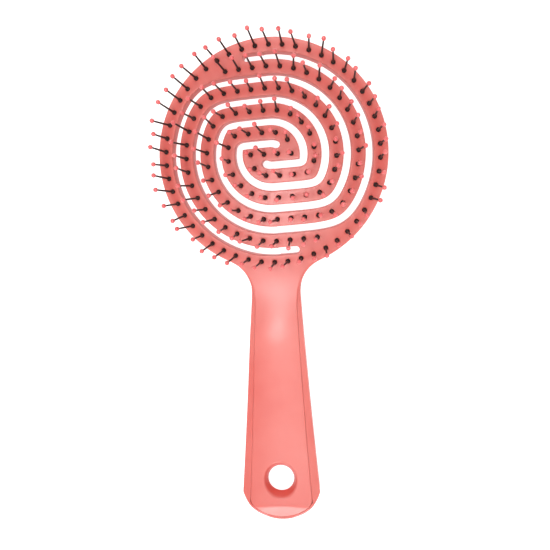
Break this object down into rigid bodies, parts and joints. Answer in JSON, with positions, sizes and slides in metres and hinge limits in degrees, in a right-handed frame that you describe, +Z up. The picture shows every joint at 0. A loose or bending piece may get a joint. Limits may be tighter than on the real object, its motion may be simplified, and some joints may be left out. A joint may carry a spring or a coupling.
{
  "type": "vented detangling hair brush",
  "caption": "Round-head vented hair brush with spiral slots, rows of ball-tipped pins and a flat tapered handle with a hanging hole.",
  "frame": {"origin": "on the surface that the brush lies on, under the middle of its bounding box", "axes": "+Z up, the way the pins point; +Y along the brush from handle to head; +X across it"},
  "size_m": [0.1158, 0.2462, 0.031],
  "materials": {
    "coral_shell": "glossy",
    "black_nylon": "satin",
    "coral_tip": "glossy"
  },
  "bodies": {
    "root": {"front_shell": "coral_shell", "rear_shell": "coral_shell", "bridge_bristle_strip": "black_nylon", "upper_arm_bristle_strip_1": "black_nylon", "upper_arm_bristle_strip_2": "black_nylon", "upper_arm_bristle_strip_3": "black_nylon", "upper_arm_bristle_strip_4": "black_nylon", "upper_arm_bristle_strip_5": "black_nylon", "upper_arm_bristle_strip_6": "black_nylon", "upper_arm_bristle_strip_7": "black_nylon", "upper_arm_bristle_strip_8": "black_nylon", "lower_arm_bristle_strip_1": "black_nylon", "lower_arm_bristle_strip_2": "black_nylon", "lower_arm_bristle_strip_3": "black_nylon", "lower_arm_bristle_strip_4": "black_nylon", "lower_arm_bristle_strip_5": "black_nylon", "lower_arm_bristle_strip_6": "black_nylon", "lower_arm_bristle_strip_7": "black_nylon", "lower_arm_bristle_strip_8": "black_nylon", "rim_bristle_strip_1": "black_nylon", "rim_bristle_strip_2": "black_nylon", "rim_bristle_strip_3": "black_nylon", "rim_bristle_strip_4": "black_nylon", "rim_bristle_strip_5": "black_nylon", "rim_bristle_strip_6": "black_nylon", "rim_bristle_strip_7": "black_nylon", "rim_bristle_strip_8": "black_nylon", "rim_bristle_strip_9": "black_nylon", "rim_bristle_strip_10": "black_nylon"}
  },
  "joints": []
}
